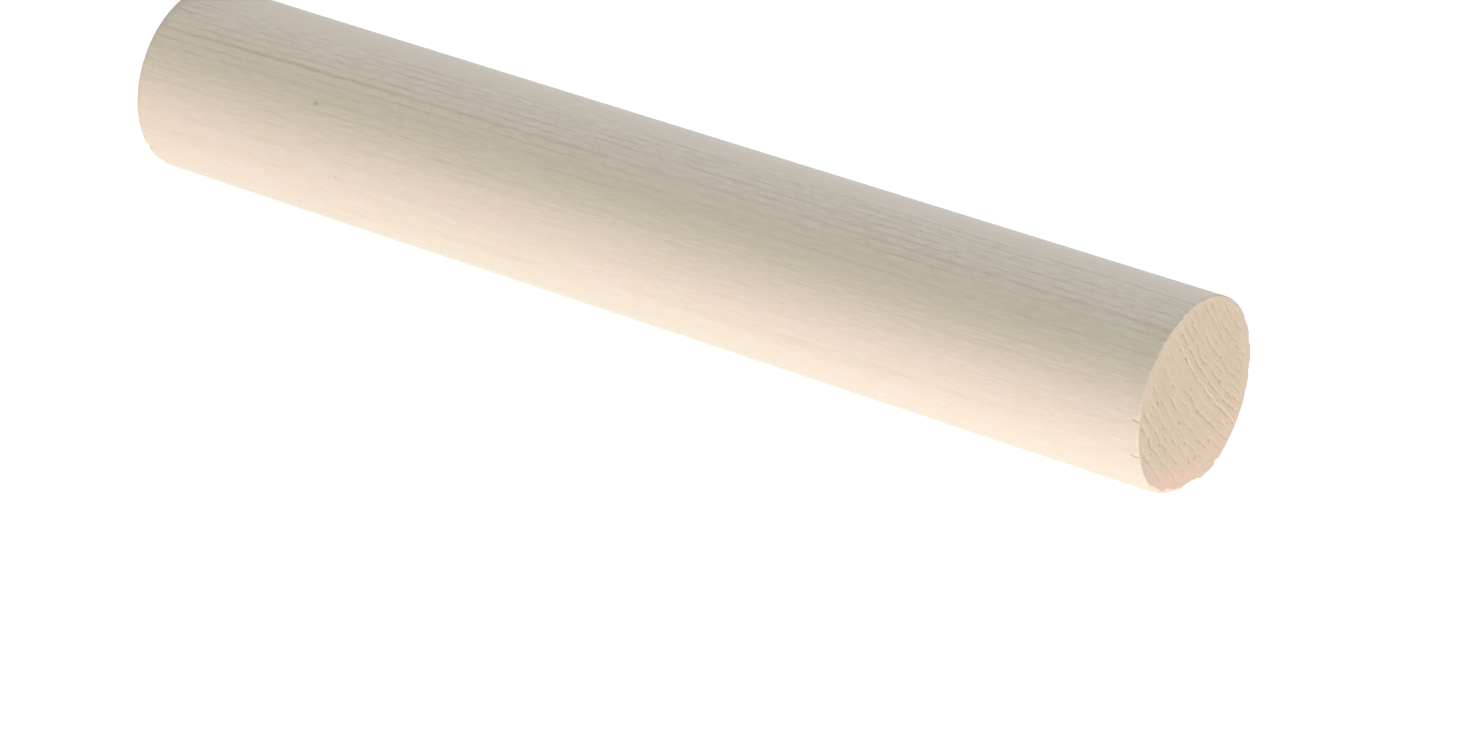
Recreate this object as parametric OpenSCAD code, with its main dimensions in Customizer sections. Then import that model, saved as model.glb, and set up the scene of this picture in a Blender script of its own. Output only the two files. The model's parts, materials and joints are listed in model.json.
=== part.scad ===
// Round wooden dowel rod, plain from end to end, with two square-sawn faces.
// It stands on its cleaner face: the origin is the centre of that face and +Z runs up the axis.

/* [Rod] */
// Diameter of the rod
rod_d = 24; // [16:1:50]
// Length between the two sawn faces
rod_l = 150; // [60:5:300]

/* [Sawn faces] */
// Width and height of the arris rubbed off round each face
arris = 0.1; // [0.05:0.05:0.4]
// How far the saw tore the deepest chip into the top face
chip_depth = 0.95; // [0.4:0.05:1.2]
// How far down the side each chip runs out
chip_drop = 1.5; // [0.8:0.1:3]

/* [Hidden] */
$fn = 160;
rod_r = rod_d / 2;
wood = [0.93, 0.85, 0.74];

// The chips round each arris: the angle about the axis, the radius of the round gouge
// that would leave the same scoop, and the depth as a share of chip_depth.
// A larger radius is a wider chip, and the largest leave a flat.
top_chips = [
    [-7, 9, 0.4], [6, 1.5, 1], [14, 30, 0.38], [17.5, 0.4, 0.85], [24, 30, 0.4],
    [28, 3, 0.95], [36, 1, 0.75], [41, 12, 0.36], [57, 0.5, 0.25], [115, 1.5, 0.17],
    [133, 1, 0.18], [148, 1.5, 0.14], [-44, 0.8, 0.13], [-155, 1, 0.15], [-128, 1, 0.1]
];
bottom_chips = [[-11, 0.8, 0.23], [-29, 0.6, 0.19], [95, 1.5, 0.21]];

// Half of the rod's section, turned once about the axis
module shaft() {
    rotate_extrude()
        polygon([
            [0, 0],
            [rod_r - arris, 0],
            [rod_r, arris],
            [rod_r, rod_l - arris],
            [rod_r - arris, rod_l],
            [0, rod_l]
        ]);
}

// A scoop that is deepest at the top face and leaves the side chip_drop below it
module chip(angle, gouge_r, share) {
    depth = chip_depth * share;
    lean = atan(depth / chip_drop);
    rotate([0, 0, angle])
        translate([rod_r - depth, 0, rod_l])
            rotate([0, -lean, 0])
                translate([gouge_r, 0, 0])
                    cylinder(r = gouge_r, h = 4 * chip_drop, center = true);
}

module dowel_rod() {
    color(wood)
        difference() {
            shaft();
            for (c = top_chips)
                chip(c[0], c[1], c[2]);
            translate([0, 0, rod_l])
                mirror([0, 0, 1])
                    for (c = bottom_chips)
                        chip(c[0], c[1], c[2]);
        }
}

dowel_rod();
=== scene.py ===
import json
import math

import bpy
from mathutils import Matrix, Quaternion, Vector


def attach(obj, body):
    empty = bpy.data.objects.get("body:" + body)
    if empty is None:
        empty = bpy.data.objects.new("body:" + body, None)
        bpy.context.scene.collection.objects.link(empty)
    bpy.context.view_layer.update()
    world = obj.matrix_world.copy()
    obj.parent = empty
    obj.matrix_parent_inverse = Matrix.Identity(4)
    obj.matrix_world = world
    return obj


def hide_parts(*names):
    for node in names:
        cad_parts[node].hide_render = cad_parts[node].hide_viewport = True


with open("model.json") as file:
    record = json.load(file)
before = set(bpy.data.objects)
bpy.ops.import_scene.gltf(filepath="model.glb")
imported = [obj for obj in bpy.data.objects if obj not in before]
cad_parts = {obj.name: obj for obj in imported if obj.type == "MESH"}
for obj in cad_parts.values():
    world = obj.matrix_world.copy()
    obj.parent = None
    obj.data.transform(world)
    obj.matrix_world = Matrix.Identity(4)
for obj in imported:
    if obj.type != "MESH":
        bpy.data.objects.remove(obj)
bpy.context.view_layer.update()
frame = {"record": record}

mounts = {m["name"]: m for m in frame["record"]["mounts"]}
rodRadius = mounts["shaft"]["dims"]["r_mm"]           # millimetres, as every size below
rodLength = mounts["top_face"]["pos_m"][2] * 1000
mm = 0.001                                            # one millimetre in scene units
noiseGain = 2.5                                       # spreads a noise node's values to about -1 to 1
print("frame loaded: rod", rodRadius * 2, "x", rodLength, "mm")


# node arithmetic, the same in a material and in geometry nodes

class Wire:
    # a socket that can be added, multiplied and compared like a number
    def __init__(self, tree, socket):
        self.tree = tree
        self.socket = socket

    def calc(self, operation, *others, clamp=False):
        node = self.tree.nodes.new("ShaderNodeMath")
        node.operation = operation
        node.use_clamp = clamp
        for slot, value in zip(node.inputs, (self,) + others):
            plug(self.tree, value, slot)
        return Wire(self.tree, node.outputs[0])

    def __add__(self, other):
        return self.calc("ADD", other)

    def __sub__(self, other):
        return self.calc("SUBTRACT", other)

    def __mul__(self, other):
        return self.calc("MULTIPLY", other)

    def __truediv__(self, other):
        return self.calc("DIVIDE", other)

    def flip(self):                                   # one minus the value
        return number(self.tree, 1.0) - self

    def clamp(self):
        return self.calc("ADD", 0.0, clamp=True)


def plug(tree, value, slot):
    if isinstance(value, Wire):
        tree.links.new(value.socket, slot)
    else:
        slot.default_value = value


def number(tree, value):
    node = tree.nodes.new("ShaderNodeValue")
    node.outputs[0].default_value = value
    return Wire(tree, node.outputs[0])


def ramp(value, low, high):
    # 0 below low, 1 above high, smooth between; low may be the larger one
    node = value.tree.nodes.new("ShaderNodeMapRange")
    node.interpolation_type = "SMOOTHSTEP"
    plug(value.tree, value, node.inputs["Value"])
    node.inputs["From Min"].default_value = min(low, high)
    node.inputs["From Max"].default_value = max(low, high)
    rise = Wire(value.tree, node.outputs["Result"])
    return rise if low < high else rise.flip()


def vector(tree, x, y, z):
    node = tree.nodes.new("ShaderNodeCombineXYZ")
    for slot, value in zip(node.inputs, (x, y, z)):
        plug(tree, value, slot)
    return Wire(tree, node.outputs[0])


def parts(place):
    node = place.tree.nodes.new("ShaderNodeSeparateXYZ")
    plug(place.tree, place, node.inputs[0])
    return [Wire(place.tree, out) for out in node.outputs[:3]]


def stretch(place, x, y, z):
    node = place.tree.nodes.new("ShaderNodeVectorMath")
    node.operation = "MULTIPLY"
    plug(place.tree, place, node.inputs[0])
    node.inputs[1].default_value = (x, y, z)
    return Wire(place.tree, node.outputs[0])


def noise(place, size=1.0, detail=2.0, rough=0.5, seed=0.0):
    # four-dimensional noise round 0, about -1 to 1; seed picks another pattern
    node = place.tree.nodes.new("ShaderNodeTexNoise")
    node.noise_dimensions = "4D"
    plug(place.tree, place, node.inputs["Vector"])
    node.inputs["W"].default_value = seed
    node.inputs["Scale"].default_value = size
    node.inputs["Detail"].default_value = detail
    node.inputs["Roughness"].default_value = rough
    return (Wire(place.tree, node.outputs[0]) - 0.5) * noiseGain


def waver(value, size, seed=0.0, detail=1.0):
    # one-dimensional noise round 0
    node = value.tree.nodes.new("ShaderNodeTexNoise")
    node.noise_dimensions = "1D"
    plug(value.tree, value * size + seed, node.inputs["W"])
    node.inputs["Scale"].default_value = 1.0
    node.inputs["Detail"].default_value = detail
    return (Wire(value.tree, node.outputs[0]) - 0.5) * noiseGain


def dice(value, seed=0.0):
    # a random number from 0 to 1 for each whole number
    node = value.tree.nodes.new("ShaderNodeTexWhiteNoise")
    node.noise_dimensions = "1D"
    plug(value.tree, value + seed, node.inputs["W"])
    return Wire(value.tree, node.outputs["Value"])


def polar(place):
    x, y, z = parts(place)
    return (x * x + y * y).calc("SQRT"), y.calc("ARCTAN2", x), z


def alongRim(turn, degrees):
    # distance in mm round the rim from an angle, either way round
    return (turn - math.radians(degrees)).calc("WRAP", math.pi, -math.pi) * rodRadius


def cells(place, seed):
    # distance to the nearest of a scatter of points, and that point's own random number
    node = place.tree.nodes.new("ShaderNodeTexVoronoi")
    node.voronoi_dimensions = "4D"
    plug(place.tree, place, node.inputs["Vector"])
    node.inputs["W"].default_value = seed
    node.inputs["Scale"].default_value = 1.0
    red = place.tree.nodes.new("ShaderNodeSeparateXYZ")
    place.tree.links.new(node.outputs["Color"], red.inputs[0])
    return Wire(place.tree, node.outputs["Distance"]), Wire(place.tree, red.outputs[0])


# the wood, which the shape and both finishes read

wood = {
    "pithDistance": 68.0,      # mm from the rod's axis to the heart of the tree
    "pithAngle": 160.0,        # degrees about the axis
    "grainSlope": 0.0239,      # sideways drift of the grain for each mm of length, at the bottom
    "grainBend": 0.000083,     # how much the drift eases off further up
    "ringDensity": 0.905,      # rings in each mm outward, at the dark ring
    "ringSpread": 0.0125,      # half of what that falls by with each mm
    "ringUneven": 0.12,        # how much the widths differ
    "darkRing": 0.82,          # where the darkest ring ends, mm outward from the axis at the bottom
    "wander": 0.10,            # slow waviness of the rings along the rod
}


def grainFrame(place):
    # the place in mm as a distance outward from the heart of the tree, along the rings, and up
    angle = math.radians(wood["pithAngle"])
    x, y, z = parts(place)
    out = x * -math.cos(angle) - y * math.sin(angle)
    along = x * math.sin(angle) - y * math.cos(angle)
    return out, along, z


def growthRings(place, sway=None):
    # how far through its year from 0 to 1, a random number and the dark ring's mark, and the distance outward
    out, along, z = grainFrame(place)
    fromPith = out + wood["pithDistance"]
    outward = (fromPith * fromPith + along * along).calc("SQRT") - wood["pithDistance"]
    outward = outward + z * (z * -wood["grainBend"] + wood["grainSlope"])
    outward = outward + noise(stretch(place, 0.10, 0.10, 0.02), seed=3.1) * wood["wander"]
    if sway:
        outward = outward + sway
    past = outward - wood["darkRing"]
    age = past * wood["ringDensity"] - past * past * wood["ringSpread"]
    age = age + waver(outward, 0.33, seed=5.0) * wood["ringUneven"]
    year = age.calc("FLOOR")
    darkest = ramp((year + 1.0).calc("ABSOLUTE"), 0.6, 0.4)
    return age - year, dice(year, seed=17.0), darkest, outward


planed = {
    "sway": 0.17,              # mm that a line wanders sideways within a few millimetres
    # painted shade: these distances put the strong lines away from the flank that faces the main lamp
    "rising": (-6.0, -4.0),    # the lines gain strength between these distances outward
    "fading": (-5.0, 9.5),     # and fade between these
    "boldest": 1.36,
    "faintest": 0.36,
    "keen": 0.62,              # the one dark ring, in its upper part
    "keenest": 1.12,           # and towards the bottom
    "deepens": (75.0, 20.0),   # heights in mm between which it goes from one to the other
    "pales": (12.0, 1.0),      # and goes back again, close to the bottom face
    "beadShare": 1.4,          # how much the beads break the lines up
    "dashShare": 1.1,          # the same for the longer dashes
    "slowShare": 0.7,          # and for the slow waves
}


def planedGrain(place):
    # late wood on the planed side, as fine lines broken into beads, and the beads themselves
    sway = noise(stretch(place, 0.75, 0.75, 0.33), 1.0, 2, 0.5, seed=62.0) * planed["sway"]
    share, luck, darkest, outward = growthRings(place, sway)
    _, _, z = parts(place)
    keen = (luck * 0.35 + 0.65) * darkest.flip()
    bold = ramp(z, *planed["deepens"]) * ramp(z, *planed["pales"][::-1])
    bold = bold * (planed["keenest"] - planed["keen"]) + planed["keen"]
    keen = keen + darkest * bold
    # the lines' colour fades towards the flank that faces the main lamp: real grain, with painted shade
    # standing in for the grazing light that shows its relief on the other flank
    strength = ramp(outward, *planed["rising"]) * ramp(outward, *planed["fading"][::-1])
    strength = strength * (planed["boldest"] - planed["faintest"]) + planed["faintest"]
    beads = noise(stretch(place, 2.1, 2.1, 0.65), 1.0, 1, 0.5, seed=63.0)
    dashes = noise(stretch(place, 1.1, 1.1, 0.17), 1.0, 1, 0.5, seed=66.0) * darkest.flip()
    slow = noise(stretch(place, 0.5, 0.5, 0.045), 1.0, 1, 0.5, seed=64.0)
    runs = beads * planed["beadShare"] + dashes * planed["dashShare"] + slow * planed["slowShare"]
    runs = ramp(runs + strength * 0.2 + darkest * 0.5, -0.20, 0.60)
    late = ramp(share + darkest * 0.16, 0.60, 0.84) * ramp(share, 1.0, 0.88)
    return late * keen * runs * strength, beads, strength


sawn = {
    "sway": 0.30,              # mm of slow waviness of the rings on the cut
    "jag": 0.14,               # mm of fine jaggedness
    "step": 0.24,              # mm by which neighbouring bundles of fibres broke off their line
    "inward": 0.9,             # mm that the torn lines lie nearer the heart than the lines on the side
    "groove": 0.052,           # depth of the torn early wood
    "ridge": 0.027,            # height of the late wood beside it
    "swell": 0.012,            # the slow rise and fall from ring to ring
    "outerRuns": 0.32,         # how much longer the torn runs are on the side away from the heart
    "pit": 0.09,               # depth of the single holes
    "pitSize": (0.34, 0.16),   # radius at a hole's lip and at its floor, in cells of the scatter
    "pitOdds": (0.62, 0.70),   # a cell has a hole when its random number is above these
    "fuzz": 0.014,
    "rimFade": 0.9,            # mm from the edge where the relief dies away
    # a smoother side of the end: angle, start and full in mm from the middle, strength
    "calmSide": (15.0, 3.0, 10.5, 0.45),
}
# arcs of the top edge that are rubbed smoother: angle, half length in mm, extra width in mm
wornArcs = [(254.0, 6.8, 1.25), (20.0, 7.2, 1.0), (127.0, 6.0, 0.7)]


def sawnGrain(place):
    # end grain as the saw leaves it: early wood torn out in broken runs, late wood standing beside it
    out, along, z = grainFrame(place)
    flat = vector(place.tree, out, along, (z - rodLength) * 0.1)
    sway = noise(stretch(flat, 0.5, 0.4, 1), 1.0, 2, 0.5, seed=8.4) * sawn["sway"]
    sway = sway + noise(stretch(flat, 2.4, 1.9, 1), 1.0, 3, 0.75, seed=9.7) * sawn["jag"]
    _, chance = cells(stretch(flat, 1.0, 0.55, 1), 5.0)
    sway = sway + (chance - 0.5) * sawn["step"] + sawn["inward"]
    share, luck, darkest, _ = growthRings(place, sway)
    runs = noise(stretch(flat, 1.2, 0.28, 1), 1.0, 2, 0.6, seed=21.0) + luck * 0.5 + darkest * 0.35
    runs = runs + ramp(out, 0.0, 9.0) * sawn["outerRuns"]
    gaps = noise(stretch(flat, 1.9, 0.80, 1), 1.0, 2, 0.6, seed=24.0) + darkest * 0.15
    broken = ramp(runs, 0.02, 0.46) * (ramp(gaps, -0.25, 0.12) * 0.9 + 0.1)
    second = ramp(noise(stretch(flat, 1.3, 0.50, 1), 1.0, 2, 0.6, seed=27.0), 0.10, 0.45)
    groove = ramp(share, 0.0, 0.12) * ramp(share, 0.36, 0.18) * broken
    groove = groove.calc("MAXIMUM", ramp(share, 0.46, 0.56) * ramp(share, 0.74, 0.62) * second * 0.8)
    standing = broken * (luck * 0.3 + 0.18) + darkest * ramp(runs, -0.2, 0.2) * 0.6
    ridge = ramp(share, 0.74, 0.90) * ramp(share, 1.03, 0.95) * standing.clamp()
    ridge = ridge.calc("MAXIMUM", ramp(share, 0.34, 0.44) * ramp(share, 0.52, 0.46) * second * 0.6)
    swell = ramp(share, 0.15, 0.75) * ramp(share, 1.0, 0.80)
    swell = swell * ramp(noise(stretch(flat, 0.25, 0.12, 1), 1.0, 1, 0.5, seed=33.0), -0.5, 0.6)
    cell, chance = cells(stretch(flat, 1.05, 0.80, 1), 0.0)
    fuzz = noise(stretch(flat, 1.9, 1.2, 1), 1.0, 3, 0.65, seed=41.0)
    pits = ramp(cell + fuzz * 0.10, *sawn["pitSize"]) * ramp(chance, *sawn["pitOdds"])
    inside = insideRim(place, flat)
    return groove * inside, ridge * inside, swell * inside, pits * inside, fuzz, inside


def insideRim(place, flat):
    # 1 over most of an end, less on its smoother side, and dying away towards the edge,
    # further in where the edge is worn
    r, turn, _ = polar(place)
    worn = number(place.tree, 0.0)
    for angle, half, width in wornArcs:
        gap = alongRim(turn, angle).calc("ABSOLUTE")
        worn = worn.calc("MAXIMUM", ramp(gap, half * 1.25, half * 0.75) * width)
    edge = r + noise(stretch(flat, 0.9, 0.5, 1), 1.0, 3, 0.6, seed=47.0) * (worn * 0.5 + 0.4) + worn
    angle, start, full, strength = sawn["calmSide"]
    towards = (turn - math.radians(angle)).calc("COSINE") * r
    calm = (ramp(towards, start, full) * strength).flip()
    return ramp(edge, rodRadius - 0.25, rodRadius - sawn["rimFade"]) * calm


# the rod itself

rod = {
    "faceCells": 164,          # cells across each end; four times this many round the side
    "sideRings": 67,           # rings of cells along the side
    "endPacking": 2.6,         # how strongly the rings crowd towards the ends
    "topArris": 0.05,          # rubbed edge round each end
    "bottomArris": 0.10,
    "sideRelief": 0.018,       # height of the grain lines on the side
    "scallop": 0.035,          # raggedness of the edge
    "scallopDrop": 0.45,       # how far down the side it reaches
    "roughRim": (236.0, 4.2, 0.28),   # a rougher stretch of the top edge: angle, half length, raggedness
    "roughDrop": 1.5,          # how far down the side that stretch reaches
    "chipDip": 0.12,           # how far the end sinks beside a chip, as a share of the chip
    "dipWidth": 2.2,           # mm in from a chip that this reaches
    "edgeBand": (2.6, 0.35),   # mm in from the side between which an end comes to follow its edge
    "sideBand": (2.0, 1.0),    # mm in from the side between which the side's grain comes in
    "endBand": (0.03, 0.005),  # mm from an end between which the end's grain takes over
    "sawnTilt": 0.45,          # faces turned up or down further than this have the sawn finish
    "sawnBite": 0.12,          # and so have places broken deeper than this, in mm
    "mergeWithin": 0.01,       # mm within which the points of the side and the ends are joined
}

# broken and rubbed places in the edge: end (1 top, 0 bottom), angle, half width in mm, depth,
# and how far down the side they reach
chips = [
    (1, 353.0, 2.30, 0.36, 1.2), (1, 6.2, 1.60, 0.90, 1.4), (1, 22.0, 6.20, 0.36, 1.7),
    (1, 15.5, 1.20, 0.84, 1.3), (1, 28.0, 2.20, 0.90, 1.6), (1, 36.0, 1.00, 0.70, 1.3),
    (1, 57.0, 0.40, 0.24, 0.8), (1, 101.5, 0.50, 0.08, 0.5), (1, 115.0, 0.95, 0.16, 0.7),
    (1, 133.5, 0.75, 0.17, 0.8), (1, 148.0, 0.80, 0.13, 0.7), (1, 316.2, 0.50, 0.12, 0.6),
    (1, 205.0, 0.65, 0.14, 0.7), (1, 232.0, 0.60, 0.10, 0.4), (1, 251.0, 0.70, 0.09, 0.4),
    (0, 349.0, 0.65, 0.22, 0.9), (0, 331.0, 0.50, 0.18, 0.7), (0, 95.0, 0.90, 0.20, 0.9),
]
# short splits running down the side from the top edge: angle at the lower end and at the top,
# height of the lower end, half width and depth
splits = [
    (292.7, 293.7, 148.75, 0.12, 0.060),
    (315.3, 316.4, 148.40, 0.14, 0.065),
]


def gridOf(tree, sizeX, sizeY, countX, countY):
    node = tree.nodes.new("GeometryNodeMeshGrid")
    for slot, value in zip(node.inputs, (sizeX, sizeY, countX, countY)):
        plug(tree, value, slot)
    return node.outputs["Mesh"]


def setPlace(tree, mesh, place):
    node = tree.nodes.new("GeometryNodeSetPosition")
    tree.links.new(mesh, node.inputs["Geometry"])
    plug(tree, place, node.inputs["Position"])
    return node.outputs["Geometry"]


def here(tree, scale=1 / mm):
    # position, in millimetres unless another scale is asked for
    node = tree.nodes.new("GeometryNodeInputPosition")
    return stretch(Wire(tree, node.outputs[0]), scale, scale, scale)


def rodSurface(tree, given):
    # one closed skin: a wrapped grid for the side, and a square grid rounded out for each end
    quads, radius, length = given["Face cells"], given["Radius"], given["Length"]
    packing = given["End packing"]
    side = gridOf(tree, 4.0, 1.0, quads * 4 + 1, given["Side rings"] + 1)
    u, v, _ = parts(here(tree, 1))
    quarter = (u + 0.5).calc("FLOOR")
    turn = quarter * (math.pi / 2) + ((u - quarter) * math.sqrt(2)).calc("ARCSINE")
    z = ((v * 2.0 * packing).calc("TANH") / packing.calc("TANH") + 1.0) * 0.5 * length
    upper = v.calc("GREATER_THAN", 0.0)
    arris = upper * given["Top arris"] + upper.flip() * given["Bottom arris"]
    inset = (arris - z.calc("MINIMUM", length - z)).calc("MAXIMUM", 0.0)
    r = radius - arris + (arris * arris - inset * inset).calc("MAXIMUM", 0.0).calc("SQRT")
    wrapped = vector(tree, turn.calc("COSINE") * r * mm, turn.calc("SINE") * r * mm, z * mm)
    skins = [setPlace(tree, side, wrapped)]
    for arris, level in ((given["Bottom arris"], None), (given["Top arris"], length * mm)):
        face = gridOf(tree, 2.0, 2.0, quads + 1, quads + 1)
        x, y, _ = parts(here(tree, 1))
        flat = (radius - arris) * mm
        px = x * (y * y * -0.5 + 1.0).calc("SQRT") * flat
        py = y * (x * x * -0.5 + 1.0).calc("SQRT") * flat
        face = setPlace(tree, face, vector(tree, px, py, level or 0.0))
        if level is None:                             # the bottom looks down
            turned = tree.nodes.new("GeometryNodeFlipFaces")
            tree.links.new(face, turned.inputs["Mesh"])
            face = turned.outputs["Mesh"]
        skins.append(face)
    join = tree.nodes.new("GeometryNodeJoinGeometry")
    for skin in skins:
        tree.links.new(skin, join.inputs[0])
    merge = tree.nodes.new("GeometryNodeMergeByDistance")
    tree.links.new(join.outputs[0], merge.inputs["Geometry"])
    merge.inputs["Distance"].default_value = rod["mergeWithin"] * mm
    return merge.outputs["Geometry"]


def chipBite(place):
    # how far the edge is broken back at each point, in mm
    _, turn, z = polar(place)
    bite = number(place.tree, 0.0)
    for top, angle, halfWidth, depth, drop in chips:
        fromEnd = z.calc("SUBTRACT", rodLength).calc("ABSOLUTE") if top else z
        across = alongRim(turn, angle) / halfWidth
        bowl = across.calc("POWER", 4.0).flip().calc("MAXIMUM", 0.0)
        bite = bite.calc("MAXIMUM", bowl * ramp(fromEnd, drop, 0.0) * depth)
    return bite


def raggedEdge(place):
    # fine unevenness of both edges, deeper in the soft early wood and on one stretch of the top edge
    _, turn, z = polar(place)
    angle, half, rough = rod["roughRim"]
    gap = alongRim(turn, angle).calc("ABSOLUTE")
    stretchOfTop = ramp(gap, half * 1.3, half * 0.7) * ramp(z, 100.0, 140.0)
    share, _, _, _ = growthRings(place)
    soft = ramp(share, 0.05, 0.35) * ramp(share, 0.95, 0.60)
    uneven = ramp(noise(stretch(place, 1, 1, 0.1), 1.5, 2, 0.6, seed=51.0) + soft * 0.4, -0.15, 0.95)
    toEnd = z.calc("MINIMUM", z.calc("SUBTRACT", rodLength).calc("ABSOLUTE"))
    reach = stretchOfTop * (rod["roughDrop"] - rod["scallopDrop"]) + rod["scallopDrop"]
    depth = stretchOfTop * (rough - rod["scallop"]) + rod["scallop"]
    return uneven * ramp(toEnd / reach, 1.0, 0.0) * depth


def splitCut(place):
    # depth of the short splits in mm
    _, turn, z = polar(place)
    cut = number(place.tree, 0.0)
    for lowAngle, highAngle, lowZ, halfWidth, depth in splits:
        share = (z - lowZ) / (rodLength - lowZ)
        gap = alongRim(turn - share * math.radians(highAngle - lowAngle), lowAngle).calc("ABSOLUTE")
        line = ramp(gap, halfWidth * 1.5, halfWidth * 0.4)
        cut = cut.calc("MAXIMUM", line * ramp(share, 0.0, 0.5) * depth)
    return cut


def endHeight(place):
    groove, ridge, swell, pits, fuzz, inside = sawnGrain(place)
    torn = (groove * sawn["groove"]).calc("MAXIMUM", pits * sawn["pit"])
    raised = ridge * sawn["ridge"] + swell * sawn["swell"] + fuzz * inside * sawn["fuzz"]
    return raised - torn - inside * (sawn["ridge"] + sawn["swell"])


def buildRodTree():
    sockets = [
        ("Radius", "Float", rodRadius), ("Length", "Float", rodLength),
        ("Top arris", "Float", rod["topArris"]), ("Bottom arris", "Float", rod["bottomArris"]),
        ("Face cells", "Int", rod["faceCells"]), ("Side rings", "Int", rod["sideRings"]),
        ("End packing", "Float", rod["endPacking"]), ("Side relief", "Float", rod["sideRelief"]),
        ("Side finish", "Material", None), ("End finish", "Material", None),
    ]
    tree = bpy.data.node_groups.new("dowelRod", "GeometryNodeTree")
    tree.interface.new_socket("Geometry", in_out="OUTPUT", socket_type="NodeSocketGeometry")
    ids = {}
    for label, kind, value in sockets:
        socket = tree.interface.new_socket(label, in_out="INPUT", socket_type="NodeSocket" + kind)
        if value is not None:
            socket.default_value = value
        ids[label] = socket.identifier
    source = tree.nodes.new("NodeGroupInput")
    given = {label: Wire(tree, source.outputs[label]) for label, _, _ in sockets}
    skin = rodSurface(tree, given)

    # first the broken places and the ragged edge, which draw the rim in
    place = here(tree)
    x, y, z = parts(place)
    r, _, _ = polar(place)
    inner, outer = rod["edgeBand"]
    pull = (chipBite(place) + raggedEdge(place)) * ramp(r, rodRadius - inner, rodRadius - outer)
    scale = (r - pull) / r.calc("MAXIMUM", 0.01)
    skin = setPlace(tree, skin, vector(tree, x * scale * mm, y * scale * mm, z * mm))

    # then the grain, which stands up on the side and is torn out on the ends
    place = here(tree)
    x, y, z = parts(place)
    r, _, _ = polar(place)
    late, beads, strength = planedGrain(place)
    sideHeight = (beads * strength * 0.5 - late - 1.0) * given["Side relief"] - splitCut(place)
    far, near = rod["endBand"]
    onTop = ramp(z, rodLength - far, rodLength - near)
    onBottom = ramp(z, far, near)
    inner, outer = rod["sideBand"]
    onSide = ramp(r, rodRadius - inner, rodRadius - outer) * (onTop + onBottom).flip()
    bite = chipBite(place)
    sunk = ramp(given["Radius"] - bite - r, rod["dipWidth"], 0.0) * bite * rod["chipDip"]
    lift = (endHeight(place) - sunk) * (onTop - onBottom)
    scale = (r + sideHeight * onSide) / r.calc("MAXIMUM", 0.01)
    skin = setPlace(tree, skin, vector(tree, x * scale * mm, y * scale * mm, (z + lift) * mm))

    smooth = tree.nodes.new("GeometryNodeSetShadeSmooth")
    tree.links.new(skin, smooth.inputs["Geometry"])
    real = tree.nodes.new("GeometryNodeRealizeInstances")
    tree.links.new(smooth.outputs[0], real.inputs[0])
    sideMat = tree.nodes.new("GeometryNodeSetMaterial")
    tree.links.new(real.outputs[0], sideMat.inputs["Geometry"])
    plug(tree, given["Side finish"], sideMat.inputs["Material"])
    endMat = tree.nodes.new("GeometryNodeSetMaterial")
    tree.links.new(sideMat.outputs[0], endMat.inputs["Geometry"])
    plug(tree, given["End finish"], endMat.inputs["Material"])
    normal = tree.nodes.new("GeometryNodeInputNormal")
    _, _, nz = parts(Wire(tree, normal.outputs[0]))
    facing = nz.calc("ABSOLUTE").calc("GREATER_THAN", rod["sawnTilt"])
    broken = chipBite(here(tree)).calc("GREATER_THAN", rod["sawnBite"])
    plug(tree, facing.calc("MAXIMUM", broken), endMat.inputs["Selection"])
    out = tree.nodes.new("NodeGroupOutput")
    tree.links.new(endMat.outputs[0], out.inputs[0])
    return tree, ids


def makeRod(sideFinish, endFinish):
    tree, ids = buildRodTree()
    shell = bpy.data.objects.new("rodMaker", bpy.data.meshes.new("rodMaker"))
    bpy.context.scene.collection.objects.link(shell)
    maker = shell.modifiers.new("rod", "NODES")
    maker.node_group = tree
    maker[ids["Radius"]] = float(rodRadius)
    maker[ids["Length"]] = float(rodLength)
    maker[ids["Side finish"]] = sideFinish
    maker[ids["End finish"]] = endFinish
    bpy.context.view_layer.update()
    ready = shell.evaluated_get(bpy.context.evaluated_depsgraph_get())
    piece = bpy.data.objects.new("dowelRodWood", bpy.data.meshes.new_from_object(ready))
    bpy.context.scene.collection.objects.link(piece)
    bpy.data.objects.remove(shell)
    print("rod built:", len(piece.data.vertices), "points,", len(piece.data.polygons), "faces")
    return piece


# the planed side and the sawn ends

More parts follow.
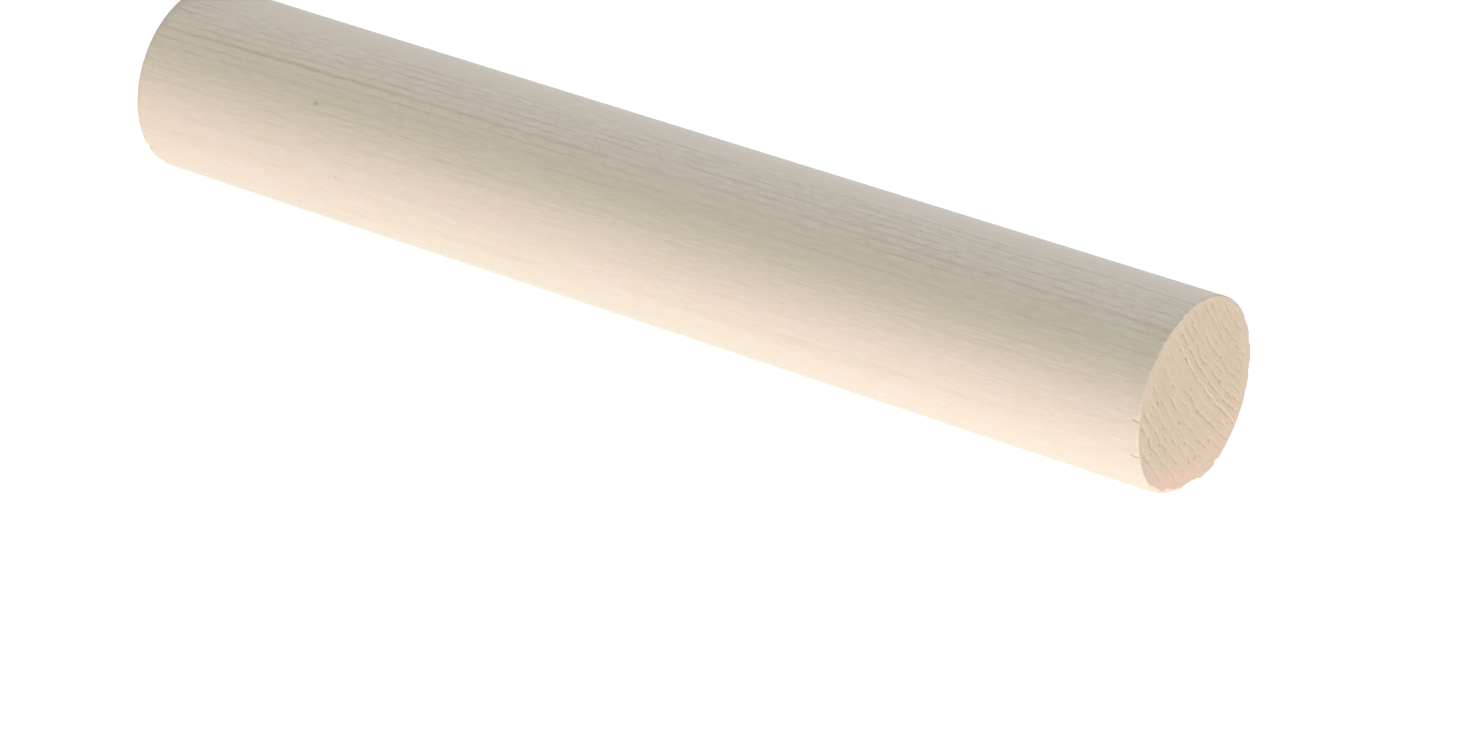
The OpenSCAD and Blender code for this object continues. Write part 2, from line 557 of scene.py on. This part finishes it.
sideWood = {
    "pale": (0.732, 0.630, 0.505),
    "late": (0.515, 0.425, 0.285),
    "lateShare": 0.46,         # how strongly the late wood is coloured
    "rosy": (0.787, 0.623, 0.512),
    "sallow": (0.690, 0.642, 0.465),
    "patches": 0.55,           # strength of the rosy and sallow patches
    "litFlankWarmth": (305.0, 10.0, 0.60),   # painted warm light on the flank facing the main lamp: angle, half width in mm, strength
    "beadShade": 0.34,         # how much lighter and darker the beads are
    "fibreShade": 0.16,        # the same for the fine fibres
    "streakShade": 0.09,       # and for long soft streaks
    "evenShade": 0.10,         # how much of the late wood's colour lies everywhere
    "knot": (0.36, 0.27, 0.18),
    "splitShadow": (0.46, 0.34, 0.22),
    "splitShade": 0.6,         # how strongly the splits are coloured dark, painted shade inside them
    "roughness": 0.50,
    "relief": 0.026,           # mm of bump
}
endWood = {
    "pale": (0.665, 0.527, 0.383),
    "rosy": (0.772, 0.561, 0.426),
    "litSideAngle": 35.0,         # the side of the end painted rosier, as warm light at its lit edge
    "rosyEven": 0.14,          # how rosy the end is all over
    "litRimGlow": 0.24,           # painted warm glow: how much more round the edge
    "litSideWarmth": 0.55,          # and painted warm light, how much more again on that side
    "sallow": (0.632, 0.545, 0.352),
    "patches": 0.60,
    "crestHighlight": (0.755, 0.635, 0.443),
    "crestShade": 0.55,        # painted highlight: how strongly the standing late wood is lightened
    "shadedHollow": (0.466, 0.369, 0.241),
    "grooveShade": 0.38,       # painted shade: how strongly the torn early wood is darkened
    "pitShade": 0.58,          # and for the single holes, also painted shade
    "rubbed": (0.698, 0.561, 0.426),
    "rubbedShade": 0.5,        # how strongly the edge and the smoother side, where the relief is less, are lightened: wear, with a painted highlight where the edge catches the light
    "litEdgeGlow": (12.0, 9.0, 0.42),          # painted warm glow, a pinker patch at the lit edge: angle, half width in mm, strength
    "litEdgeGlowColour": (0.860, 0.540, 0.440),
    "roughness": 0.80,
    "relief": 0.018,
}
# pin knots: angle about the axis, height, radius, darkness
pinKnots = [(264.3, 27.6, 0.42, 0.45), (304.3, 32.4, 0.24, 0.30), (299.1, 10.8, 0.28, 0.20)]
knotStretch = 0.6              # a knot's width as a share of its length up the rod


def blendColours(tree, share, first, second):
    node = tree.nodes.new("ShaderNodeMix")
    node.data_type = "RGBA"
    plug(tree, share, node.inputs[0])
    for slot, colour in ((node.inputs[6], first), (node.inputs[7], second)):
        if isinstance(colour, Wire):
            tree.links.new(colour.socket, slot)
        else:
            slot.default_value = (*colour, 1.0)
    return Wire(tree, node.outputs[2])


def newFinish(name, roughness):
    finish = bpy.data.materials.new(name)
    finish.use_nodes = True
    tree = finish.node_tree
    shader = tree.nodes["Principled BSDF"]
    shader.inputs["Roughness"].default_value = roughness
    shader.inputs["Specular IOR Level"].default_value = 0.5
    coords = tree.nodes.new("ShaderNodeTexCoord")
    place = stretch(Wire(tree, coords.outputs["Object"]), 1 / mm, 1 / mm, 1 / mm)
    return finish, tree, shader, place


def addBump(tree, shader, height, distance):
    node = tree.nodes.new("ShaderNodeBump")
    node.inputs["Strength"].default_value = 1.0
    node.inputs["Distance"].default_value = distance * mm
    plug(tree, height, node.inputs["Height"])
    tree.links.new(node.outputs[0], shader.inputs["Normal"])


def pinKnotSpots(tree, place):
    spots = number(tree, 0.0)
    for angle, height, size, depth in pinKnots:
        turn = math.radians(angle)
        node = tree.nodes.new("ShaderNodeVectorMath")
        node.operation = "DISTANCE"
        plug(tree, stretch(place, 1, 1, knotStretch), node.inputs[0])
        middle = (math.cos(turn) * rodRadius, math.sin(turn) * rodRadius, height * knotStretch)
        node.inputs[1].default_value = middle
        spots = spots.calc("MAXIMUM", ramp(Wire(tree, node.outputs["Value"]), size, size * 0.2) * depth)
    return spots


def planedSide():
    finish, tree, shader, place = newFinish("planedSide", sideWood["roughness"])
    late, beads, strength = planedGrain(place)
    beads = beads * strength
    fibre = noise(stretch(place, 3.6, 3.6, 0.26), 1.0, 3, 0.6, seed=73.0) * (strength * 0.7 + 0.7)
    streak = noise(stretch(place, 0.75, 0.75, 0.02), 1.0, 2, 0.5, seed=71.0)
    patch = noise(stretch(place, 0.22, 0.22, 0.05), 1.0, 3, 0.55, seed=75.0)
    _, turn, _ = polar(place)
    # painted warm light: rosier on the flank that faces the main lamp
    angle, half, strong = sideWood["litFlankWarmth"]
    warmLitFlank = ramp(alongRim(turn, angle).calc("ABSOLUTE"), half, 0.0) * strong
    rosy = patch * sideWood["patches"] + warmLitFlank
    colour = blendColours(tree, rosy.clamp(), sideWood["pale"], sideWood["rosy"])
    colour = blendColours(tree, (patch * -sideWood["patches"]).clamp(), colour, sideWood["sallow"])
    # the late wood's colour here carries that painted shade of the grain lines as well as the grain itself
    shade = late * sideWood["lateShare"] - beads * sideWood["beadShade"] + fibre * sideWood["fibreShade"]
    shade = shade + streak * sideWood["streakShade"] + sideWood["evenShade"]
    colour = blendColours(tree, shade.clamp(), colour, sideWood["late"])
    spots = pinKnotSpots(tree, place)
    colour = blendColours(tree, spots, colour, sideWood["knot"])
    # painted shade: the splits are coloured dark inside
    cut = ramp(splitCut(place), 0.005, 0.04)
    colour = blendColours(tree, cut * sideWood["splitShade"], colour, sideWood["splitShadow"])
    tree.links.new(colour.socket, shader.inputs["Base Color"])
    fine = noise(stretch(place, 9, 9, 0.35), 1.0, 2, 0.6, seed=77.0)
    addBump(tree, shader, beads * 1.4 - late + fibre * 0.6 + fine * 0.3 - spots, sideWood["relief"])
    return finish


def sawnEnd():
    finish, tree, shader, place = newFinish("sawnEnd", endWood["roughness"])
    groove, ridge, swell, pits, fuzz, inside = sawnGrain(place)
    r, turn, _ = polar(place)
    patch = noise(place, 0.30, 3, 0.55, seed=83.0) * endWood["patches"]
    towards = (turn - math.radians(endWood["litSideAngle"])).calc("COSINE") * r
    rosy = patch + endWood["rosyEven"]
    # painted warm light: rosier round the edge and on the lit side of the end
    rosy = rosy + ramp(r, 8.0, 11.5) * ramp(towards, -10.0, 3.0) * endWood["litRimGlow"]
    rosy = rosy + ramp(towards, -1.0, 11.5) * endWood["litSideWarmth"]
    colour = blendColours(tree, rosy.clamp(), endWood["pale"], endWood["rosy"])
    colour = blendColours(tree, (patch * -1.0).clamp(), colour, endWood["sallow"])
    # painted highlight: the standing late wood and the swells are coloured lighter
    colour = blendColours(tree, ridge * endWood["crestShade"] + swell * 0.12, colour, endWood["crestHighlight"])
    speck = noise(place, 5.0, 2, 0.6, seed=81.0)
    # painted shade: the torn grooves and holes are coloured darker
    shadedHollow = (groove * endWood["grooveShade"]).calc("MAXIMUM", pits * endWood["pitShade"])
    shadedHollow = shadedHollow + speck * 0.05 - fuzz * 0.08
    colour = blendColours(tree, shadedHollow.clamp(), colour, endWood["shadedHollow"])
    # the edge is coloured lighter: wear, and a painted highlight where the edge catches the light
    colour = blendColours(tree, inside.flip() * endWood["rubbedShade"], colour, endWood["rubbed"])
    # painted warm glow at the lit edge of the end
    angle, half, strong = endWood["litEdgeGlow"]
    litEdgeGlow = ramp(alongRim(turn, angle).calc("ABSOLUTE"), half, half * 0.2) * ramp(r, 7.5, 10.5) * strong
    colour = blendColours(tree, litEdgeGlow, colour, endWood["litEdgeGlowColour"])
    tree.links.new(colour.socket, shader.inputs["Base Color"])
    rough = ridge + swell * 0.5 - groove - pits * 1.2 + fuzz * 0.7 + speck * 0.15
    addBump(tree, shader, rough, endWood["relief"])
    return finish


sideFinish = planedSide()
endFinish = sawnEnd()
print("finishes made")
piece = makeRod(sideFinish, endFinish)
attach(piece, "root")
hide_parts("dowel_rod")


# floor, light and camera

studio = {
    "floorSize": 4.0,          # metres
    "floorPaint": 0.80,        # what the floor sends back to the rod
    "floorGlow": 0.82,         # share of the floor's white that shadow doesn't take
    "floorShade": 0.26,        # how much of the lamps' light shows as well, which shadow does take
    "skyColour": (0.945, 1.0, 0.90),
    "skyStrength": 0.54,
}
# lamps: name, angle about the rod, elevation, distance, width, power in watts, colour
lamps = [
    ("mainLamp", -13.0, 34.0, 1.5, 0.67, 18.4, (0.965, 0.93, 1.0)),
    ("backLamp", 180.0, 30.0, 0.9, 0.6, 2.2, (0.50, 0.60, 1.0)),
]
viewpoint = {
    "elevation": 32.745,       # degrees above the middle of the rod
    "distance": 0.7039,        # metres from the middle of the rod
    "aimOffset": (0.01349, 0.0069, 0.01168),   # metres from there to the point looked at
    "roll": 108.51,            # the camera is held turned, so the rod lies across the frame
    "lens": 141.0,             # millimetres
}
rodMiddle = Vector((0, 0, rodLength / 2 * mm))


def seenWhite(tree):
    path = tree.nodes.new("ShaderNodeLightPath")
    camera, glossy, through = [Wire(tree, path.outputs[n]) for n in
                               ("Is Camera Ray", "Is Glossy Ray", "Is Transmission Ray")]
    return camera.calc("MAXIMUM", glossy).calc("MAXIMUM", through)


def makeFloor():
    half = studio["floorSize"] / 2
    mesh = bpy.data.meshes.new("floor")
    corners = [(-half, -half, 0), (half, -half, 0), (half, half, 0), (-half, half, 0)]
    mesh.from_pydata(corners, [], [(0, 1, 2, 3)])
    floor = bpy.data.objects.new("floor", mesh)
    bpy.context.scene.collection.objects.link(floor)
    paint = bpy.data.materials.new("paleFloor")
    paint.use_nodes = True
    tree = paint.node_tree
    tree.nodes.clear()
    plain = tree.nodes.new("ShaderNodeBsdfDiffuse")
    plain.inputs["Color"].default_value = (*[studio["floorPaint"]] * 3, 1)
    shade = tree.nodes.new("ShaderNodeBsdfDiffuse")
    shade.inputs["Color"].default_value = (*[studio["floorShade"]] * 3, 1)
    glow = tree.nodes.new("ShaderNodeEmission")
    glow.inputs["Strength"].default_value = studio["floorGlow"]
    both = tree.nodes.new("ShaderNodeAddShader")
    tree.links.new(shade.outputs[0], both.inputs[0])
    tree.links.new(glow.outputs[0], both.inputs[1])
    pick = tree.nodes.new("ShaderNodeMixShader")
    tree.links.new(seenWhite(tree).socket, pick.inputs[0])
    tree.links.new(plain.outputs[0], pick.inputs[1])
    tree.links.new(both.outputs[0], pick.inputs[2])
    out = tree.nodes.new("ShaderNodeOutputMaterial")
    tree.links.new(pick.outputs[0], out.inputs["Surface"])
    mesh.materials.append(paint)


def makeSky():
    sky = bpy.data.worlds.new("studio")
    bpy.context.scene.world = sky
    sky.use_nodes = True
    tree = sky.node_tree
    tree.nodes.clear()
    soft = tree.nodes.new("ShaderNodeBackground")
    soft.inputs["Color"].default_value = (*studio["skyColour"], 1)
    soft.inputs["Strength"].default_value = studio["skyStrength"]
    white = tree.nodes.new("ShaderNodeBackground")
    white.inputs["Color"].default_value = (1, 1, 1, 1)
    pick = tree.nodes.new("ShaderNodeMixShader")
    tree.links.new(seenWhite(tree).socket, pick.inputs[0])
    tree.links.new(soft.outputs[0], pick.inputs[1])
    tree.links.new(white.outputs[0], pick.inputs[2])
    out = tree.nodes.new("ShaderNodeOutputWorld")
    tree.links.new(pick.outputs[0], out.inputs["Surface"])


def around(target, angle, elevation, distance):
    turn, rise = math.radians(angle), math.radians(elevation)
    return target + Vector((math.cos(turn) * math.cos(rise), math.sin(turn) * math.cos(rise),
                            math.sin(rise))) * distance


def makeLamp(name, angle, elevation, distance, width, power, colour):
    light = bpy.data.lights.new(name, "AREA")
    light.shape = "DISK"
    light.size = width
    light.energy = power
    light.color = colour
    lamp = bpy.data.objects.new(name, light)
    bpy.context.scene.collection.objects.link(lamp)
    lamp.location = around(rodMiddle, angle, elevation, distance)
    lamp.rotation_mode = "QUATERNION"
    lamp.rotation_quaternion = (lamp.location - rodMiddle).to_track_quat("Z", "Y")
    lamp.visible_camera = False


def makeCamera():
    data = bpy.data.cameras.new("camera")
    data.lens = viewpoint["lens"]
    data.clip_start = 0.01
    camera = bpy.data.objects.new("camera", data)
    bpy.context.scene.collection.objects.link(camera)
    camera.location = around(rodMiddle, -90, viewpoint["elevation"], viewpoint["distance"])
    aim = rodMiddle + Vector(viewpoint["aimOffset"])
    level = (camera.location - aim).to_track_quat("Z", "Y")
    camera.rotation_mode = "QUATERNION"
    camera.rotation_quaternion = level @ Quaternion((0, 0, 1), math.radians(viewpoint["roll"]))
    bpy.context.scene.camera = camera


makeFloor()
makeSky()
for lamp in lamps:
    makeLamp(*lamp)
makeCamera()
bpy.context.scene.view_settings.view_transform = "Standard"
print("studio ready")
